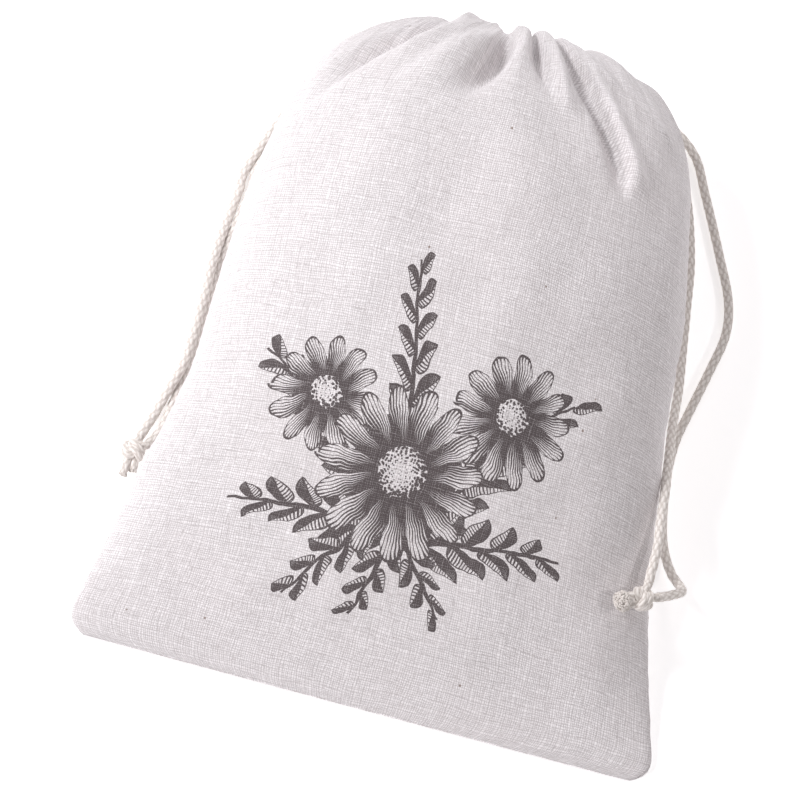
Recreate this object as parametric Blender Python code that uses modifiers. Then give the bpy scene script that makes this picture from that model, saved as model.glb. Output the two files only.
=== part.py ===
"""Drawstring bread bag, lying on its back.

Frame: X across the bag, Y from the bottom fold to the drawn neck, Z up from the surface it
rests on. The bag is one length of cloth folded at the bottom, sewn up both sides and gathered
at the top on two drawstrings. Its neck is tucked over, behind the shoulders. Sizes in the tables
are in millimetres; MM turns them into metres.
"""
import math

import bpy
import numpy as np
from mathutils import Vector

MM = 0.001

# ---- driving sizes (mm) ----
ROUND_CLOTH = 600.0        # cloth round the bag, side seam to side seam and back
HALF_CLOTH = 300.0         # finished width of one face
CLOTH_THICK = 1.2          # one layer of cloth
SEAM_IN = 6.0              # sewn edge inside each side seam, at the bottom
SEAM_RUN = 150.0           # that edge opens out into the filled part over this length
CORD_D = 5.0               # drawstring diameter
CORD_STEP = 12.0           # spacing of a cord's modelled points
PLEAT_AT = 50.0            # where the folds' second place and depth are given
CASING_ROW = 16            # the section at the casing's stitch line

# ---- sections of the bag, bottom fold to casing edge (mm) ----
# ty tz: the front's centre line   sy sz: the side line   half: half width   by bz: the back's
# centre line   nf nb: roundness of the front and back (2 is an ellipse)   cx: shift across
SECTIONS = (
    # ty     tz     sy     sz    half    by     bz    nf    nb    cx
    (0.0,    3.0,   0.0,   1.5, 142.5,   0.0,   0.0, 2.20, 2.2,  0.0),
    (2.5,    5.0,   2.5,   2.0, 148.5,   2.5,   0.0, 1.90, 2.4,  0.0),
    (9.0,    9.5,   9.0,   2.8, 152.6,   9.0,  -0.5, 1.75, 2.6,  0.0),
    (24.0,  20.0,  24.0,   5.0, 149.4,  24.0,  -1.0, 1.75, 2.6,  0.0),
    (47.0,  35.0,  47.0,  10.0, 142.9,  47.0,  -1.5, 1.85, 2.6, -0.5),
    (82.0,  55.0,  82.0,  19.0, 133.4,  82.0,  -2.0, 1.95, 2.6, -2.0),
    (122.0, 74.0, 122.0,  28.0, 125.3, 122.0,  -2.0, 2.05, 2.6, -3.0),
    (168.0, 91.0, 168.0,  35.0, 119.4, 168.0,  -2.0, 2.10, 2.6, -5.0),
    (214.0, 101.0, 214.0, 40.0, 116.0, 214.0,  -2.0, 2.15, 2.6, -6.5),
    (255.0, 105.0, 255.0, 43.0, 113.5, 253.0,  -2.0, 2.20, 2.6, -7.0),
    (291.0, 102.5, 288.0, 45.0, 109.5, 272.0,  -1.0, 2.25, 2.5, -6.5),
    (319.0, 94.5, 311.0,  48.0, 103.0, 284.0,   1.0, 2.30, 2.4, -6.0),
    (340.0, 83.5, 329.0,  51.0,  91.5, 291.0,   5.0, 2.30, 2.3, -5.5),
    (352.5, 73.0, 341.0,  53.0,  77.0, 296.0,  10.0, 2.30, 2.2, -5.0),
    (359.0, 63.5, 346.0,  50.0,  59.0, 300.0,  15.0, 2.25, 2.1, -5.0),
    (361.0, 56.5, 342.0,  43.0,  43.0, 303.0,  19.5, 2.15, 2.0, -5.0),
    (360.5, 51.0, 334.0,  37.0,  31.0, 307.0,  22.5, 2.00, 2.0, -5.0),
    (363.5, 39.0, 339.6,  26.4,  27.0, 315.8,  13.7, 2.00, 2.0, -5.0),
    (373.0, 29.7, 345.7,  15.2,  31.0, 318.3,   0.7, 2.00, 2.0, -5.0),
)
# sections drawn out between the rows above: how many extra in each of these gaps
EXTRA = {5: 1, 6: 1, 7: 1, 8: 1, 9: 1, 10: 1, 11: 1, 12: 1, 13: 1}

# ---- folds that run down from the neck (mm of cloth, 0 at the left side seam, 150 at the
# middle of the front, 300 at the right seam, 450 at the middle of the back) ----
# a0, a50, a1: place at the neck, PLEAT_AT from it, and where the fold ends   reach: its length
# d0, d50: depth at the neck and PLEAT_AT from it, less than 0 for a raised pleat
# l0, r0, l1, r1: spread to the left and right, at the neck and at the end   v: 1 if sharp
FOLDS = (
    # name        a0     a50    a1    reach   d0    d50    l0    r0    l1    r1    v
    ("lens",     62.0,  97.0,  48.0, 128.0, 19.0,  9.0, 27.0, 13.0, 24.0, 10.0, 0.3),
    ("ridge_a",  76.0, 106.0,  56.0, 128.0,  0.0, -3.0, 12.0, 24.0,  8.0, 22.0, 0.0),
    ("hollow",  120.0, 131.0, 121.0, 108.0, 20.0, 15.0, 28.0, 14.0, 22.0,  8.0, 0.2),
    ("pleat_1", 136.0, 147.0, 146.0,  86.0,  0.0, -2.0, 14.0, 14.0,  8.0,  8.0, 0.0),
    ("small",   150.0, 163.0, 172.0,  88.0, 13.0,  5.0, 14.0, 14.0,  6.0,  6.0, 0.6),
    ("pleat_2", 165.0, 168.0, 181.0,  94.0,  0.0, -3.0, 14.0, 14.0,  8.0,  8.0, 0.0),
    ("long",    180.0, 173.0, 217.0, 142.0, 15.0,  7.5, 14.0, 15.0,  9.0,  7.0, 0.8),
    ("ridge_r", 196.0, 180.0, 222.0, 138.0,  0.0, -4.0, 14.0, 15.0,  7.0,  9.0, 0.0),
    ("soft",    214.0, 190.0, 238.0, 100.0, 16.0,  3.0, 17.0, 22.0, 14.0, 16.0, 0.0),
    ("right",   262.0, 260.0, 266.0,  86.0, 19.0,  5.0, 24.0, 24.0, 18.0, 20.0, 0.0),
    ("back_1",  312.0, 312.0, 312.0,  70.0, 19.0,  6.0, 25.0, 24.0, 20.0, 20.0, 0.2),
    ("back_2",  360.0, 360.0, 358.0,  56.0, 18.0,  5.0, 24.0, 24.0, 20.0, 20.0, 0.2),
    ("back_3",  408.0, 408.0, 406.0,  76.0, 19.0,  8.0, 24.0, 24.0, 20.0, 20.0, 0.2),
    ("back_4",  456.0, 456.0, 458.0,  58.0, 18.0,  5.0, 24.0, 24.0, 20.0, 20.0, 0.2),
    ("back_5",  504.0, 504.0, 506.0,  76.0, 19.0,  8.0, 24.0, 24.0, 20.0, 20.0, 0.2),
    ("back_6",  554.0, 554.0, 552.0,  62.0, 18.0,  6.0, 25.0, 24.0, 20.0, 20.0, 0.2),
    ("back_7",  608.0, 609.0, 606.0,  80.0, 18.0,  7.0, 28.0, 24.0, 20.0, 20.0, 0.2),
)
BETWEEN = 2                # points between each fold and the ridge beside it

# ---- drawstrings: the route's own points (mm), from the casing to the knot ----
LEFT_A = (
    (-35.6, 342.0, 27.0), (-44.0, 347.0, 20.0), (-58.0, 353.0, 9.0), (-74.0, 354.0, 3.2),
    (-93.0, 345.0, 2.6), (-109.0, 327.0, 2.6), (-128.3, 270.9, 2.6), (-129.6, 254.3, 2.6),
    (-130.8, 238.8, 2.8), (-131.6, 222.5, 5.6), (-131.8, 207.2, 7.0), (-131.0, 192.6, 7.5),
    (-130.7, 178.1, 7.5), (-130.5, 163.8, 7.5), (-131.3, 149.4, 7.2), (-134.9, 134.7, 5.6),
    (-138.5, 120.4, 3.2), (-140.6, 111.9, 5.0), (-141.9, 105.8, 6.6),
)
LEFT_B = (
    (-35.2, 336.0, 18.5), (-44.0, 337.0, 11.0), (-58.0, 340.0, 3.6), (-75.0, 342.0, 2.6),
    (-92.0, 334.0, 2.6), (-105.0, 318.0, 2.6), (-122.7, 272.6, 2.6), (-123.7, 256.0, 2.6),
    (-125.3, 240.5, 2.6), (-127.1, 225.1, 2.6), (-128.9, 209.9, 2.6), (-129.4, 195.0, 2.6),
    (-129.4, 180.5, 2.6), (-129.4, 166.0, 2.6), (-129.5, 151.6, 2.6), (-130.2, 137.2, 2.6),
    (-131.6, 123.2, 2.6), (-132.9, 112.7, 4.0), (-137.0, 103.2, 6.0),
)
RIGHT_A = (
    (25.0, 342.0, 27.0), (34.0, 347.0, 20.0), (48.0, 354.0, 9.0), (64.0, 358.0, 3.2),
    (84.0, 356.0, 2.6), (101.0, 343.0, 2.6), (111.5, 322.0, 2.6), (126.0, 290.0, 2.6),
    (136.0, 266.0, 2.6), (138.8, 246.0, 2.6), (134.6, 223.0, 2.6), (128.8, 197.0, 2.6),
    (125.6, 181.0, 2.6), (125.0, 163.1, 2.6), (126.9, 144.5, 2.6), (129.8, 128.5, 3.0),
    (133.6, 117.5, 4.2), (138.1, 108.4, 7.5), (142.4, 102.0, 13.0), (143.8, 96.9, 20.0),
    (139.8, 92.2, 27.0), (134.7, 88.1, 32.5), (130.0, 84.6, 38.4),
)
RIGHT_B = (
    (24.5, 336.0, 18.5), (33.0, 337.0, 11.0), (48.0, 341.0, 3.6), (65.0, 345.0, 2.6),
    (82.0, 343.0, 2.6), (95.0, 332.0, 2.6), (104.0, 312.0, 2.6), (111.9, 281.6, 2.6),
    (115.6, 254.1, 2.6), (118.3, 231.1, 3.4), (120.5, 206.8, 8.0), (120.6, 183.2, 18.0),
    (121.3, 160.9, 29.5), (121.6, 148.8, 36.0), (122.0, 139.2, 40.6), (122.9, 123.0, 42.6),
    (124.1, 109.6, 43.6), (124.1, 100.4, 43.6), (123.9, 93.5, 43.2), (123.9, 89.4, 42.4),
)
# knots: centre, direction of the cut ends, and the turned outline (along, radius), in mm
KNOT_LEFT = {"at": (-142.8, 98.1, 6.8), "ends": (0.0, -0.985, -0.17)}
KNOT_RIGHT = {"at": (122.8, 81.6, 39.0), "ends": (-0.86, -0.42, 0.30)}
KNOT_OUTLINE = ((-6.6, 0.0), (-5.9, 3.2), (-3.6, 5.6), (0.0, 6.5), (3.6, 5.8), (5.9, 4.2),
                (7.4, 3.1), (10.0, 3.4), (13.6, 2.9), (14.2, 0.0))
KNOT_SIDES = 12

COLOURS = {
    "cloth": ((0.83, 0.79, 0.77), 0.92),
    "cord": ((0.84, 0.79, 0.70), 0.88),
}


# ---------------------------------------------------------------- small helpers
def ease(x):
    x = np.clip(x, 0.0, 1.0)
    return x * x * (3.0 - 2.0 * x)


def smooth_rows(at, rows, wanted):
    """Rows between the table's rows, on monotone cubics that never overshoot."""
    at, rows, wanted = (np.asarray(v, float) for v in (at, rows, wanted))
    gap = np.diff(at)
    rise = np.diff(rows, axis=0) / gap[:, None]
    slope = np.zeros_like(rows)
    slope[0], slope[-1] = rise[0], rise[-1]
    for k in range(1, len(at) - 1):
        before, after = rise[k - 1], rise[k]
        w1, w2 = 2 * gap[k] + gap[k - 1], gap[k] + 2 * gap[k - 1]
        same = before * after > 0
        safe_b, safe_a = np.where(same, before, 1.0), np.where(same, after, 1.0)
        slope[k] = np.where(same, (w1 + w2) / (w1 / safe_b + w2 / safe_a), 0.0)
    i = np.clip(np.searchsorted(at, wanted, side="right") - 1, 0, len(at) - 2)
    t = ((wanted - at[i]) / gap[i])[:, None]
    g = gap[i][:, None]
    return ((2 * t**3 - 3 * t**2 + 1) * rows[i] + (t**3 - 2 * t**2 + t) * g * slope[i]
            + (-2 * t**3 + 3 * t**2) * rows[i + 1] + (t**3 - t**2) * g * slope[i + 1])


def power(c, n):
    return np.sign(c) * np.abs(c) ** (2.0 / n)


def round_gap(d):
    """Shortest way round the cloth between two places."""
    return (d + HALF_CLOTH) % ROUND_CLOTH - HALF_CLOTH


# ---------------------------------------------------------------- the cloth's surface
def run_of_cloth():
    """Distance along the cloth of each section row."""
    r = np.array(SECTIONS)
    front = np.hypot(np.diff(r[:, 0]), np.diff(r[:, 1]))
    side = np.sqrt(np.diff(r[:, 2])**2 + np.diff(r[:, 3])**2 + np.diff(r[:, 4])**2)
    return np.concatenate([[0.0], np.cumsum(0.5 * (front + side))])


def fold_at(fold, away):
    """Place, depth and spread of a fold at a distance from the neck."""
    name, a0, a50, a1, reach, d0, d50, l0, r0, l1, r1, v = fold
    if away <= 0:
        return a0, d0, l0, r0
    if away < PLEAT_AT:
        k = float(ease(away / PLEAT_AT))
        place, depth = a0 + (a50 - a0) * k, d0 + (d50 - d0) * k
    else:
        k = min((away - PLEAT_AT) / (reach - PLEAT_AT), 1.0)
        place, depth = a50 + (a1 - a50) * k, d50 * (1.0 - k ** 2.2)
    k = min(away / reach, 1.0)
    return place, depth, l0 + (l1 - l0) * k, r0 + (r1 - r0) * k


def column_places(columns, away):
    """Where the mesh's columns stand round the cloth, so that each keeps to its fold."""
    home = np.array([f[1] for f in FOLDS])
    move = np.array([fold_at(f, away)[0] - f[1] for f in FOLDS])
    home3 = np.concatenate([home - ROUND_CLOTH, home, home + ROUND_CLOTH])
    return columns + np.interp(columns, home3, np.concatenate([move, move, move]))


def fold_depth(place, away):
    """How far the folds push the cloth in, at places round the bag."""
    pushed, raised = np.zeros_like(place), np.zeros_like(place)
    for fold in FOLDS:
        at, depth, left, right = fold_at(fold, away)
        d = round_gap(place - at)
        t = np.clip(np.where(d < 0, -d / left, d / right), 0.0, 1.0)
        sharp = fold[-1]
        lobe = (1 - sharp) * (0.5 + 0.5 * np.cos(math.pi * t)) + sharp * (1 - t) ** 1.8
        if depth > 0:
            pushed = np.maximum(pushed, depth * lobe)
        else:
            raised = np.maximum(raised, -depth * lobe)
    return pushed - raised


def plain_section(row, place):
    """The section without its folds, at places round the cloth."""
    ty, tz, sy, sz, half, by, bz, nf, nb, cx = row
    turn = np.linspace(0.0, math.pi, 361)
    out = np.zeros((len(place), 3))
    place = place % ROUND_CLOTH
    for low, sign, n, y1, z1 in ((0.0, -1.0, nf, ty, tz), (HALF_CLOTH, 1.0, nb, by, bz)):
        k = power(np.sin(turn), n)
        line = np.stack([sign * half * power(np.cos(turn), n),
                         sy + (y1 - sy) * k, sz + (z1 - sz) * k], 1)
        line[:, 2] = np.maximum(line[:, 2], 0.0)
        run = np.concatenate([[0.0], np.cumsum(np.linalg.norm(np.diff(line, axis=0), axis=1))])
        here = (place >= low) & (place < low + HALF_CLOTH)
        part = (place[here] - low) / HALF_CLOTH * run[-1]
        for axis in range(3):
            out[here, axis] = np.interp(part, run, line[:, axis])
    out[:, 0] += cx
    return out


def outer_surface(run, rows, neck, columns):
    """Grid of points on the outside of the cloth."""
    grid = np.zeros((len(run), len(columns), 3))
    for i, row in enumerate(rows):
        away = neck - run[i]
        place = column_places(columns, away)
        pts = plain_section(row, place)
        up = np.array([0.0, row[0] - row[5], row[1] - row[6]])
        along = np.cross([1.0, 0.0, 0.0], up / np.linalg.norm(up))
        inward = np.cross(np.roll(pts, -1, 0) - np.roll(pts, 1, 0), along)
        inward /= np.linalg.norm(inward, axis=1)[:, None] + 1e-12
        middle = pts.mean(axis=0)
        if ((middle - pts) * inward).sum() < 0:
            inward = -inward
        pts = pts + inward * fold_depth(place, away)[:, None]
        pts[:, 2] = np.maximum(pts[:, 2], 0.0)
        grid[i] = pts
    return grid


def inner_surface(outer, run, columns, seams):
    """The inside of the cloth: the outer grid moved in by one layer."""
    across = np.roll(outer, -1, 1) - np.roll(outer, 1, 1)
    along = np.gradient(outer, axis=0)
    normal = np.cross(across, along)
    normal /= np.linalg.norm(normal, axis=2)[:, :, None] + 1e-12
    middle = outer.mean(axis=1)[:, None, :]
    flip = np.sign(((middle - outer) * normal).sum(axis=(1, 2)))
    normal *= flip[:, None, None]
    before = np.roll(outer, 1, 1) - outer
    after = np.roll(outer, -1, 1) - outer
    before /= np.linalg.norm(before, axis=2)[:, :, None] + 1e-12
    after /= np.linalg.norm(after, axis=2)[:, :, None] + 1e-12
    # a ridge's inner corner lies deeper than one layer, a fold's does not
    bend = (before + after)
    closed = np.linalg.norm(bend, axis=2) / 2.0
    is_ridge = (bend * normal).sum(axis=2) > 0
    reach = np.where(is_ridge, 1.0 / np.sqrt(np.clip(1.0 - closed**2, 0.30, 1.0)), 1.0)
    inner = outer + normal * (CLOTH_THICK * reach)[:, :, None]
    for i, s in enumerate(run):
        sewn = max(CLOTH_THICK, SEAM_IN * (1.0 - s / SEAM_RUN))
        for j in seams:
            side = -np.sign(outer[i, j, 0] - outer[i, :, 0].mean())
            if s < SEAM_RUN:
                inner[i, j] = outer[i, j] + np.array([side * sewn, 0.0, 0.0])
    inner[:, :, 2] = np.maximum(inner[:, :, 2], CLOTH_THICK * 0.98)
    return inner


def mesh_columns():
    """Columns at every fold, at the ridge between two folds, and between those."""
    keys = sorted({f[1] % ROUND_CLOTH for f in FOLDS})
    valleys = sorted(f[1] % ROUND_CLOTH for f in FOLDS if f[5] > 0)
    raised = [f[1] for f in FOLDS if f[5] <= 0]
    for a, b in zip(valleys, valleys[1:] + [valleys[0] + ROUND_CLOTH]):
        if not any(a < r < b for r in raised):
            keys.append(((a + b) / 2.0) % ROUND_CLOTH)
    keys = sorted(keys)
    out = []
    for a, b in zip(keys, keys[1:] + [keys[0] + ROUND_CLOTH]):
        n = BETWEEN + 1 + (1 if b - a > 30 else 0)
        out += [(a + (b - a) * k / n) % ROUND_CLOTH for k in range(n)]
    out = np.array(sorted(out))
    # the columns nearest to the two side seams stand on them
    seams = []
    for seam in (0.0, HALF_CLOTH):
        j = int(np.abs(round_gap(out - seam)).argmin())
        out[j] = seam
        seams.append(j)
    order = np.argsort(out)
    return out[order], [int(np.where(order == j)[0][0]) for j in seams]


def bag_mesh():
    at = run_of_cloth()
    wanted = []
    for k in range(len(at) - 1):
        n = EXTRA.get(k, 0) + 1
        wanted += [at[k] + (at[k + 1] - at[k]) * m / n for m in range(n)]
    wanted = np.array(wanted + [at[-1]])
    rows = smooth_rows(at, SECTIONS, wanted)
    columns, seams = mesh_columns()
    outer = outer_surface(wanted, rows, at[CASING_ROW], columns)
    inner = inner_surface(outer, wanted, columns, seams)
    start = 2                               # the inside begins a little above the fold
    inner = inner[start:]
    inner[0, :, 1] = outer[start, :, 1].mean() + CLOTH_THICK
    n = len(columns)
    verts = [tuple(p * MM) for p in outer.reshape(-1, 3)]
    shift = len(verts)
    verts += [tuple(p * MM) for p in inner.reshape(-1, 3)]
    faces = []
    for i in range(len(outer) - 1):
        for j in range(n):
            k = (j + 1) % n
            faces.append((i * n + j, i * n + k, (i + 1) * n + k, (i + 1) * n + j))
    for i in range(len(inner) - 1):
        for j in range(n):
            k = (j + 1) % n
            a = shift + i * n
            faces.append((a + j, a + n + j, a + n + k, a + k))
    top, rim = (len(outer) - 1) * n, shift + (len(inner) - 1) * n
    for j in range(n):                      # the casing's free edge
        k = (j + 1) % n
        faces.append((top + j, top + k, rim + k, rim + j))
    # the bottom fold, closed with a strip of short faces outside and inside
    lo, hi = seams
    front = list(range(lo, hi + 1))
    back = [j % n for j in range(lo + n, hi - 1, -1)]
    for base, turn in ((0, False), (shift, True)):
        a, b = 0, 0
        while a < len(front) - 1 or b < len(back) - 1:
            fa = columns[front[a]] if a < len(front) else 1e9
            step_a = (front[a + 1] if a < len(front) - 1 else None)
            step_b = (back[b + 1] if b < len(back) - 1 else None)
            na = columns[step_a] if step_a is not None else 1e9
            nb = (ROUND_CLOTH - columns[step_b]) % ROUND_CLOTH if step_b is not None else 1e9
            if step_b is not None and step_b == hi:
                nb = HALF_CLOTH
            if na <= nb:
                tri = (base + front[a], base + step_a, base + back[b])
                a += 1
            else:
                tri = (base + front[a], base + step_b, base + back[b])
                b += 1
            if len(set(tri)) == 3:
                faces.append(tri if turn else tri[::-1])
    mesh = bpy.data.meshes.new("bag_cloth")
    mesh.from_pydata(verts, [], faces)
    mesh.update()
    return mesh, outer


# ---------------------------------------------------------------- cords and knots
def even_route(points, step):
    """Points every step along a smooth curve through the route's own points."""
    p = np.array(points, float)
    ends = np.vstack([2 * p[0] - p[1], p, 2 * p[-1] - p[-2]])
    dense = []
    for k in range(1, len(ends) - 2):
        p0, p1, p2, p3 = ends[k - 1:k + 3]
        for t in np.linspace(0, 1, 24, endpoint=False):
            dense.append(0.5 * (2 * p1 + (p2 - p0) * t + (2 * p0 - 5 * p1 + 4 * p2 - p3) * t**2
                                + (3 * p1 - p0 - 3 * p2 + p3) * t**3))
    dense = np.array(dense + [p[-1]])
    run = np.concatenate([[0.0], np.cumsum(np.linalg.norm(np.diff(dense, axis=0), axis=1))])
    n = max(2, int(round(run[-1] / step)))
    wanted = np.linspace(0.0, run[-1], n + 1)
    return np.stack([np.interp(wanted, run, dense[:, k]) for k in range(3)], 1), run[-1]


def add_cord(name, points, collection, material):
    curve = bpy.data.curves.new(name, "CURVE")
    curve.dimensions = "3D"
    curve.bevel_depth = CORD_D / 2.0 * MM
    curve.bevel_resolution = 2
    curve.use_fill_caps = True
    curve.render_resolution_u = 0
    route, length = even_route(points, CORD_STEP)
    spline = curve.splines.new("POLY")
    spline.points.add(len(route) - 1)
    for point, p in zip(spline.points, route):
        point.co = (*(p * MM), 1.0)
    obj = bpy.data.objects.new(name, curve)
    curve.materials.append(material)
    collection.objects.link(obj)
    return obj, length


def add_knot(name, knot, collection, material):
    """A turned outline: the knot's round body and the bundle of its cut ends."""
    mesh = bpy.data.meshes.new(name)
    verts = [(r * MM, 0.0, -along * MM) for along, r in KNOT_OUTLINE]
    mesh.from_pydata(verts, [(k, k + 1) for k in range(len(verts) - 1)], [])
    obj = bpy.data.objects.new(name, mesh)
    collection.objects.link(obj)
    turn = obj.modifiers.new("turn", "SCREW")
    turn.axis = "Z"
    turn.angle = 2 * math.pi
    turn.steps = turn.render_steps = KNOT_SIDES
    turn.use_merge_vertices = True
    turn.merge_threshold = 0.0001
    turn.use_smooth_shade = True
    mesh.materials.append(material)
    obj.location = Vector(knot["at"]) * MM
    obj.rotation_euler = (-Vector(knot["ends"])).to_track_quat("Z", "Y").to_euler()
    return obj


def make_material(name, colour, roughness):
    material = bpy.data.materials.new(name)
    material.use_nodes = True
    shader = material.node_tree.nodes["Principled BSDF"]
    shader.inputs["Base Color"].default_value = (*colour, 1.0)
    shader.inputs["Roughness"].default_value = roughness
    shader.inputs["Metallic"].default_value = 0.0
    material.diffuse_color = (*colour, 1.0)
    return material


# ---------------------------------------------------------------- build
def main():
    for obj in list(bpy.data.objects):
        bpy.data.objects.remove(obj, do_unlink=True)
    parts = bpy.data.collections.new("bread_bag")
    bpy.context.scene.collection.children.link(parts)

    mesh, outer = bag_mesh()
    bag = bpy.data.objects.new("bag_cloth", mesh)
    mesh.materials.append(make_material("cloth", *COLOURS["cloth"]))
    mesh.shade_smooth()
    parts.objects.link(bag)

    pieces = [bag]
    for name, route in (("cord_left_a", LEFT_A), ("cord_left_b", LEFT_B),
                        ("cord_right_a", RIGHT_A), ("cord_right_b", RIGHT_B)):
        obj, _ = add_cord(name, route, parts, make_material(name, *COLOURS["cord"]))
        pieces.append(obj)
    for name, knot in (("knot_left", KNOT_LEFT), ("knot_right", KNOT_RIGHT)):
        pieces.append(add_knot(name, knot, parts, make_material(name, *COLOURS["cord"])))

    # everything hangs from one empty, which puts the bag's middle over the origin
    low, high = outer.reshape(-1, 3).min(axis=0), outer.reshape(-1, 3).max(axis=0)
    middle = bpy.data.objects.new("bag_middle", None)
    parts.objects.link(middle)
    middle.location = (-(low[0] + high[0]) / 2 * MM, -(low[1] + high[1]) / 2 * MM, -low[2] * MM)
    for obj in pieces:
        obj.parent = middle
    bpy.context.view_layer.update()


main()
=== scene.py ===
"""Looks of the drawstring bread bag: woven cloth with its folds, seams and print, braided
drawstrings and their knots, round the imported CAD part. Lengths in the tables are millimetres.
"""

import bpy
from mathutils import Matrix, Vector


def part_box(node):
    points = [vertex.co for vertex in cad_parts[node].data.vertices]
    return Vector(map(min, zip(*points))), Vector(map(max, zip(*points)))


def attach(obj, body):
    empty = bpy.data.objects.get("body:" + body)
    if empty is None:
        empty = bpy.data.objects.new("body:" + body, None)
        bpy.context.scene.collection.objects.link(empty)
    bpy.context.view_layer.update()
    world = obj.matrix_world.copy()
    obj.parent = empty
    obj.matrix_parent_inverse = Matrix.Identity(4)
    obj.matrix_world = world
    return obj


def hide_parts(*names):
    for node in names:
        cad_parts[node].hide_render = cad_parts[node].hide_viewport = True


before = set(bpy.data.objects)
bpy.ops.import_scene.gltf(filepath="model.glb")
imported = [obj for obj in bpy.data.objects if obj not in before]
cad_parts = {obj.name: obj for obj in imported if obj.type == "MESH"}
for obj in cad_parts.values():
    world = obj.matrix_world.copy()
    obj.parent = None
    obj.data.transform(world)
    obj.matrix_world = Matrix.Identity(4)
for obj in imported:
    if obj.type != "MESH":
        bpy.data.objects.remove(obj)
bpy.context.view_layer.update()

import math
import random

import bpy
import numpy as np
from mathutils import Matrix, Vector

MM = 0.001
rng = np.random.default_rng(11)
random.seed(11)

# ============================================================ sizes, as in the CAD model (mm)
ROUND_CLOTH = 600.0
HALF_CLOTH = 300.0
CLOTH_THICK = 0.9
CORD_D = 5.0
PLEAT_AT = 50.0
CASING_ROW = 16
CASING_DEEP = 25.0
OFFSET_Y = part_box("bag_cloth")[0][1] * 1000.0      # the bottom fold is at table y = 0

SECTIONS = (
    # ty     tz     sy     sz    half    by     bz    nf    nb    cx
    (0.0,    3.0,   0.0,   1.5, 142.5,   0.0,   0.0, 2.20, 2.2,  0.0),
    (2.5,    5.0,   2.5,   2.0, 148.5,   2.5,   0.0, 1.90, 2.4,  0.0),
    (9.0,    9.5,   9.0,   2.8, 152.6,   9.0,  -0.5, 1.75, 2.6,  0.0),
    (24.0,  20.0,  24.0,   5.0, 149.4,  24.0,  -1.0, 1.75, 2.6,  0.0),
    (47.0,  35.0,  47.0,  10.0, 142.9,  47.0,  -1.5, 1.85, 2.6, -0.5),
    (82.0,  55.0,  82.0,  19.0, 133.4,  82.0,  -2.0, 1.95, 2.6, -2.0),
    (122.0, 74.0, 122.0,  28.0, 126.0, 122.0,  -2.0, 2.05, 2.6, -3.0),
    (168.0, 91.0, 168.0,  35.0, 120.5, 168.0,  -2.0, 2.10, 2.6, -5.0),
    (214.0, 101.0, 214.0, 40.0, 116.8, 214.0,  -2.0, 2.15, 2.6, -6.5),
    (255.0, 105.0, 255.0, 43.0, 113.5, 253.0,  -2.0, 2.20, 2.6, -7.0),
    (291.0, 102.5, 288.0, 45.0, 109.5, 272.0,  -1.0, 2.25, 2.5, -6.5),
    (319.0, 94.5, 311.0,  48.0, 103.0, 284.0,   1.0, 2.30, 2.4, -6.0),
    (340.0, 83.5, 329.0,  51.0,  91.5, 291.0,   5.0, 2.30, 2.3, -5.5),
    (352.5, 73.0, 341.0,  53.0,  77.0, 296.0,  10.0, 2.30, 2.2, -5.0),
    (359.0, 63.5, 346.0,  50.0,  59.0, 300.0,  15.0, 2.25, 2.1, -5.0),
    (361.0, 56.5, 342.0,  43.0,  43.0, 303.0,  19.5, 2.15, 2.0, -5.0),
    (360.5, 51.0, 334.0,  37.0,  31.0, 307.0,  22.5, 2.00, 2.0, -5.0),
    (363.5, 39.0, 339.6,  26.4,  27.0, 315.8,  13.7, 2.00, 2.0, -5.0),
    (373.0, 29.7, 345.7,  15.2,  31.0, 318.3,   0.7, 2.00, 2.0, -5.0),
)
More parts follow.
